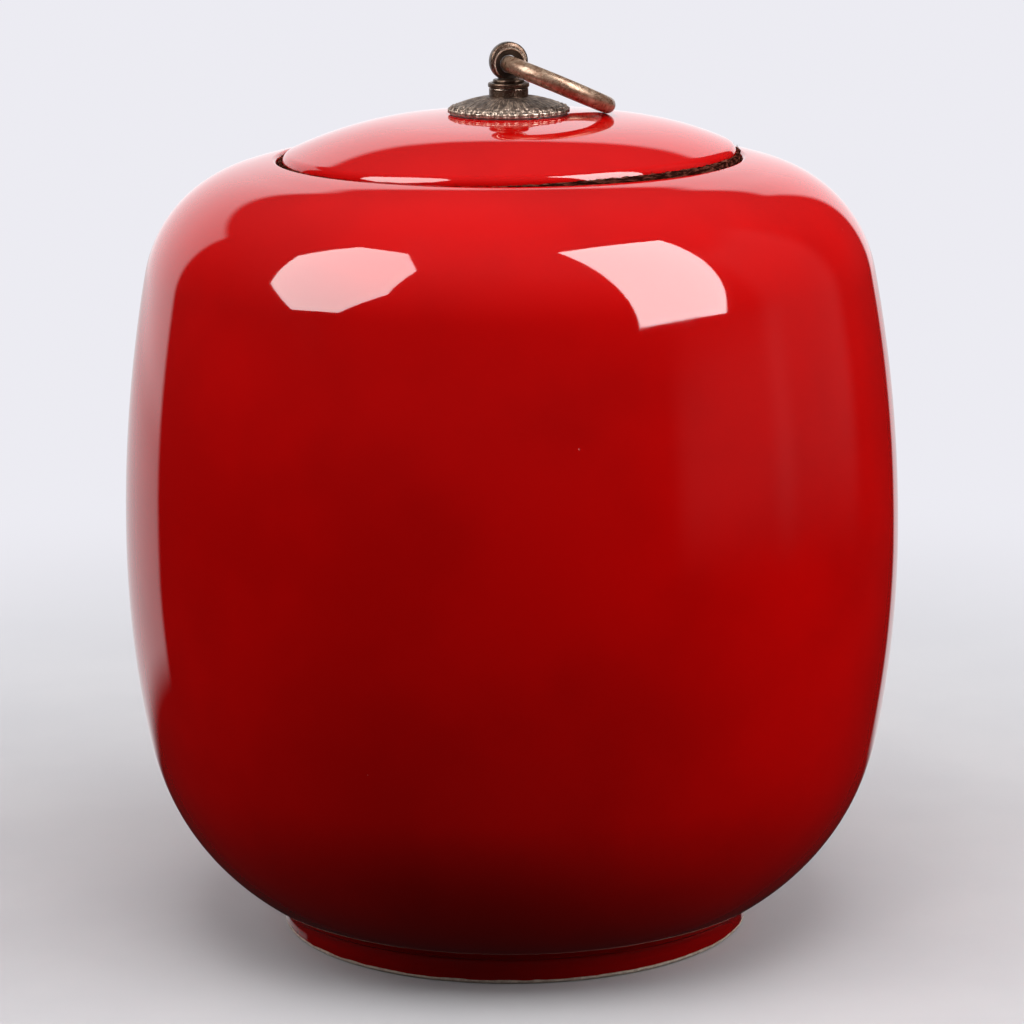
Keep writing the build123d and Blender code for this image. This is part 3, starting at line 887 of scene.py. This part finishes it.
def fused(name, parts, voxel):
    """One mesh round closed shells that overlap, remade at that voxel size in millimetres and smoothed."""
    points = np.vstack([p for p, _ in parts])
    starts = np.cumsum([0] + [len(p) for p, _ in parts[:-1]])
    quads = np.vstack([q + s for (_, q), s in zip(parts, starts)])
    mesh = bpy.data.meshes.new(name)
    mesh.from_pydata(points.tolist(), [], quads.tolist())
    piece = placed(name + "_work", tidy(mesh))
    remesh = piece.modifiers.new("fuse", "REMESH")
    remesh.mode = "VOXEL"
    remesh.voxel_size = voxel
    relax = piece.modifiers.new("relax", "SMOOTH")
    relax.iterations = 3
    relax.factor = 0.5
    made = bpy.data.meshes.new_from_object(piece.evaluated_get(bpy.context.evaluated_depsgraph_get()))
    bpy.data.objects.remove(piece)
    made.transform(Matrix.Scale(METRES, 4))
    made.name = name
    made.polygons.foreach_set("use_smooth", np.ones(len(made.polygons), bool))
    return made


def pull_ring():
    """Cast ring through the eye, a little uneven along its tube."""
    around, across = 360, 56
    low, high = node_box("pull_ring")
    i, j = np.meshgrid(np.arange(around), np.arange(across), indexing="ij")
    a, b = i * 2 * pi / around, j * 2 * pi / across
    tube = RING_TUBE_R + 0.025 * np.sin(3 * a + 0.7) + 0.02 * np.sin(2 * b + a)
    r = RING_PITCH_R + tube * np.cos(b)
    points = np.stack([r * np.cos(a), r * np.sin(a), tube * np.sin(b)], -1).reshape(-1, 3)
    points *= (1 + 0.0012 * noise_at(points, 1.8, 6.2, 2))[:, None]
    ahead, up = (i + 1) % around, (j + 1) % across
    quads = np.stack([i * across + j, ahead * across + j, ahead * across + up, i * across + up], -1)
    centre = (low + high) / 2
    reach = (high[0] - low[0]) / 2 - RING_TUBE_R
    slope = acos(np.clip(reach / RING_PITCH_R, -1, 1))
    turned = np.array(Matrix.Rotation(slope, 3, "Y"))
    mesh = mesh_of("pull_ring", points @ turned.T + centre, quads.reshape(-1, 4))
    store_curvature(mesh, 2)
    show("pull_ring", mesh, "ring", [RING_BRONZE])


# ---------------------------------------------------------------- hardware under the lid

def washer(low, high, edges, step):
    """Points and quads of a flat ring round the bolt. Edges are the rounding radii of its lower bore,
    lower rim, upper rim and upper bore."""
    corners = [(BORE_R, low[2]), (high[0], low[2]), (high[0], high[2]), (BORE_R, high[2])]
    outline = rounded([(*corner, edge) for corner, edge in zip(corners, edges)] + corners[:1], step)
    return turn(outline[:-1], 192, True)[:2]


def washers():
    """Soft washer, a little swollen at its edge, and a pressed steel washer with a rolled upper edge."""
    points, quads = washer(SOFT_LOW, SOFT_HIGH, (0.3, 0.55, 0.55, 0.3), 0.3)
    uneven(points, share=0.003, size=3, seed=1.2)
    show("soft_washer", mesh_of("soft_washer", points, quads), "lid", [PAD])
    points, quads = washer(STEEL_LOW, STEEL_HIGH, (0.08, 0.1, 0.3, 0.2), 0.2)
    show("steel_washer", mesh_of("steel_washer", points, quads), "lid", [STEEL])


def nut():
    """Hexagon nut: its outer radius follows the flats, and its corners are chamfered."""
    low, high = NUT_LOW[2], NUT_HIGH[2]
    flat_r = min(NUT_HIGH[0], NUT_HIGH[1])
    corner_r = max(NUT_HIGH[0], NUT_HIGH[1])
    mouth_r = BORE_R + NUT_CHAMFER
    outline = rounded([
        (mouth_r, low), (flat_r - 0.1, low), (flat_r, low + 0.06), (flat_r, high - 0.06),
        (flat_r - 0.1, high), (mouth_r, high), (BORE_R, high - NUT_CHAMFER), (BORE_R, low + NUT_CHAMFER),
        (mouth_r, low)], 0.25)
    points, quads, _ = turn(outline[:-1], 240, True)
    r, angle = polar(points)
    first_flat = 0 if NUT_HIGH[0] < NUT_HIGH[1] else pi / 6
    off_flat = (angle - first_flat + pi / 6) % (pi / 3) - pi / 6
    hexagon = np.minimum(flat_r / np.cos(off_flat), corner_r)
    share = smooth(mouth_r, flat_r, r)
    drop = (hexagon - flat_r) * tan(radians(NUT_CORNER_SLOPE)) * share
    from_middle = points[:, 2] - (low + high) / 2
    points[:, 2] -= np.sign(from_middle) * drop * (np.abs(from_middle) > 0.3 * (high - low))
    points[:, :2] *= (1 + share * (hexagon / flat_r - 1))[:, None]
    show("lid_nut", mesh_of("lid_nut", points, quads), "lid", [STEEL], sharp=25)


# ---------------------------------------------------------------- stage

# Places are in metres: to the camera's right, away from it, and up. Directions are azimuths in degrees
# from the camera, to its right, and heights above the horizon.
CAMERA_RUN = 0.9657
CAMERA_HEIGHT = 0.3104
CAMERA_PITCH = 12.14
CAMERA_ROLL = -0.46
CAMERA_LENS = 140.6

SKY_PALE = (0.84, 0.835, 0.89)
FLOOR_TONES = ((0.50, 0.495, 0.51), (0.47, 0.467, 0.485))
FLOOR_GAP = 0.0001
BOARD = 1.15
# Patches of light in the room: azimuth and height from and to, softness of the edge, strength
PATCHES = [
    (157, 232, -6, 30, 1.5, BOARD), (157, 232, -18, -6, 1.5, BOARD * 0.68),
    (84, 122, -8, 48, 5, 0.10), (50, 90, -8, 6, 5, 0.10)]
RECTANGLE_LIGHT = 12.0
RECTANGLE_PLACE = Vector((0.642, -0.408, 0.825))
RECTANGLE_FACES = (-139.4, -32.3)
RECTANGLE_HALF = (0.282, 0.5725)
RECTANGLE_LEAN = -1.5
OCTAGON_LIGHT = 9.5
OCTAGON_PLACE = Vector((-0.689, -0.332, 0.813))
OCTAGON_FACES = (122.5, -25.8)
OCTAGON_R = 0.361
OCTAGON_STRETCH = 1.39
OCTAGON_TURN = 16.5
SOFT_MIDDLE = Vector((0, 0, 0.1))
SOFT_DISTANCE = 1.2
SOFT_HALF = 0.45
SOFT_LIGHTS = [
    ("top_light", 0, 70, 5.0), ("right_light", 75, 26, 4.4), ("left_light", -78, 30, 2.9),
    ("right_back_light", 141, 5, 2.1), ("left_back_light", -141, 0, 2.0), ("table_light", 0, -50, 0.32)]


def camera():
    data = bpy.data.cameras.new("camera")
    data.sensor_width = 36
    data.lens = CAMERA_LENS
    eye = placed("camera", data)
    turned = Matrix.Rotation(radians(CAMERA_TURN), 4, "Z")
    stand = Matrix.Translation((0, -CAMERA_RUN, CAMERA_HEIGHT))
    pitch = Matrix.Rotation(radians(90 - CAMERA_PITCH), 4, "X")
    eye.matrix_world = turned @ stand @ pitch @ Matrix.Rotation(radians(CAMERA_ROLL), 4, "Z")
    data.clip_end = 50
    bpy.context.scene.camera = eye


def towards(azimuth, height):
    """The unit vector at that azimuth, in degrees from the camera to its right, and height."""
    a, h = radians(azimuth), radians(height)
    return Vector((sin(a) * cos(h), -cos(a) * cos(h), sin(h)))


def light_panel(name, centre, facing, corners, strength, in_reflections):
    """Softbox: a bright sheet, unseen by the camera, with its corners given as (across, up) from its
    centre. Facing is its normal. It either shows in reflections or lights matt surfaces, not both."""
    across = Vector((0, 0, 1)).cross(facing).normalized()
    up = facing.cross(across)
    turned = Matrix.Rotation(radians(CAMERA_TURN), 3, "Z")
    mesh = bpy.data.meshes.new(name)
    points = [turned @ (centre + across * x + up * y) for x, y in corners]
    mesh.from_pydata(points, [], [list(range(len(points)))])
    panel = placed(name, mesh)
    material = bpy.data.materials.new(name)
    nodes = Nodes(material)
    nodes.tree.nodes.clear()
    in_front = nodes.maths("SUBTRACT", 1.0, nodes.node("ShaderNodeNewGeometry").outputs["Backfacing"])
    glow = nodes.node("ShaderNodeEmission", None, nodes.maths("MULTIPLY", in_front, strength))
    nodes.node("ShaderNodeOutputMaterial", glow.outputs[0])
    mesh.materials.append(material)
    panel.visible_camera = False
    panel.visible_shadow = False
    panel.visible_glossy = in_reflections
    panel.visible_diffuse = not in_reflections


def rectangle(half_wide, half_high, lean=0.0):
    """Corners of a rectangle turned by lean degrees."""
    c, s = cos(radians(lean)), sin(radians(lean))
    corners = [(i * half_wide, j * half_high) for i, j in ((-1, -1), (1, -1), (1, 1), (-1, 1))]
    return [(x * c - y * s, x * s + y * c) for x, y in corners]


def lights():
    """Two softboxes as the glaze mirrors them, and broad soft lights all round for the colour under it."""
    light_panel("rectangle_light", RECTANGLE_PLACE, towards(*RECTANGLE_FACES),
                rectangle(*RECTANGLE_HALF, RECTANGLE_LEAN), RECTANGLE_LIGHT, True)
    turns = [radians(OCTAGON_TURN + 45 * i) for i in range(8)]
    corners = [(OCTAGON_R * cos(a), OCTAGON_R * OCTAGON_STRETCH * sin(a)) for a in turns]
    light_panel("octagon_light", OCTAGON_PLACE, towards(*OCTAGON_FACES), corners, OCTAGON_LIGHT, True)
    square = rectangle(SOFT_HALF, SOFT_HALF)
    for name, azimuth, height, strength in SOFT_LIGHTS:
        away = towards(azimuth, height)
        light_panel(name, SOFT_MIDDLE + away * SOFT_DISTANCE, -away, square, strength, False)


def patch(room, direction, height, limits, soft):
    """1 in the directions between two azimuths and two heights, 0 elsewhere, with a soft edge."""
    az_low, az_high, el_low, el_high = limits
    middle = (az_low + az_high) / 2 - 90 + CAMERA_TURN
    spun = room.node("ShaderNodeVectorRotate", direction, rotation_type="Z_AXIS")
    room.fill(spun, {"Angle": radians(-middle)})
    x, y, _ = room.node("ShaderNodeSeparateXYZ", spun.outputs[0]).outputs
    off = room.maths("MULTIPLY", room.maths("ABSOLUTE", room.maths("ARCTAN2", y, x)), 180 / pi)
    half = (az_high - az_low) / 2
    inside = room.step(off, half - soft, half + soft, 1, 0)
    inside = room.maths("MULTIPLY", inside, room.step(height, el_low - soft, el_low + soft))
    return room.maths("MULTIPLY", inside, room.step(height, el_high - soft, el_high + soft, 1, 0))


def sky():
    """The room round the jar, by direction: a white board behind it, grey above, dark below and in front.
    The camera itself sees plain pale."""
    world = bpy.data.worlds.new("room")
    bpy.context.scene.world = world
    room = Nodes(world)
    room.tree.nodes.clear()
    direction = room.node("ShaderNodeTexCoord").outputs["Generated"]
    z = room.node("ShaderNodeSeparateXYZ", direction).outputs[2]
    height = room.maths("MULTIPLY", room.maths("ARCSINE", z), 180 / pi)
    light = room.step(height, -12, 8, 0.010, 0.036)
    light = room.maths("ADD", light, room.step(height, 8, 75, 0.0, 0.17))
    for *limits, soft, strength in PATCHES:
        lit = room.maths("MULTIPLY", patch(room, direction, height, limits, soft), strength)
        light = room.maths("ADD", light, lit)
    seen = room.node("ShaderNodeLightPath").outputs["Is Camera Ray"]
    around = room.node("ShaderNodeBackground", (0.96, 0.97, 1.0, 1.0), light)
    pale = room.node("ShaderNodeBackground", (*SKY_PALE, 1.0), 1.0)
    both = room.node("ShaderNodeMixShader", seen, around.outputs[0], pale.outputs[0])
    room.node("ShaderNodeOutputWorld", both.outputs[0])


def floor():
    """Pale table, lit near the jar and evenly pale further off, unseen in the jar's reflections."""
    size = 6.0
    mesh = bpy.data.meshes.new("floor")
    mesh.from_pydata([(x, y, 0) for x, y in rectangle(size, size)], [], [(0, 1, 2, 3)])
    plane = placed("floor", mesh)
    plane.location.z = JAR_LOW[2] * METRES - FLOOR_GAP
    paint = Paint("floor")
    tone = paint.mix(paint.step(paint.noise(60, 4), 0.3, 0.7), *FLOOR_TONES)
    paint.finish(tone, 0.7, paint.bump(paint.noise(2, 3), 0.02))
    away = paint.node("ShaderNodeVectorMath", paint.place, operation="LENGTH").outputs["Value"]
    glow = paint.node("ShaderNodeEmission", (*SKY_PALE, 1.0)).outputs[0]
    spread = paint.node("ShaderNodeMixShader", paint.step(away, 150, 520), paint.shader.outputs[0], glow)
    paint.put(paint.tree.nodes["Material Output"].inputs["Surface"], spread.outputs[0])
    mesh.materials.append(paint.material)
    plane.visible_glossy = False
    plane.visible_diffuse = False


PORCELAIN = [red_glaze(), white_glaze(), bare_clay()]
FELT = felt("fibre", (0.018, 0.0045, 0.003), (0.14, 0.044, 0.030))
PAD = rubber("soft_pad", (0.05, 0.045, 0.042), (0.10, 0.09, 0.085))
ROSETTE_BRONZE = bronze("rosette_bronze", (0.085, 0.058, 0.045), (0.23, 0.170, 0.135), (0.58, 0.46, 0.37),
                        (0.35, 1.1), -0.5, (0.36, 0.5), 0.02)
BRONZE = bronze("bronze", (0.045, 0.025, 0.016), (0.095, 0.056, 0.038), (0.72, 0.56, 0.45),
                (1.1, 2.3), -0.8, (0.22, 0.38), 0.008)
RING_BRONZE = ring_metal()
STEEL = steel()

jar()
lid()
gasket()
pad()
rosette()
collar()
eye_bolt()
pull_ring()
washers()
nut()
camera()
lights()
sky()
floor()
bpy.context.scene.view_settings.view_transform = "Standard"
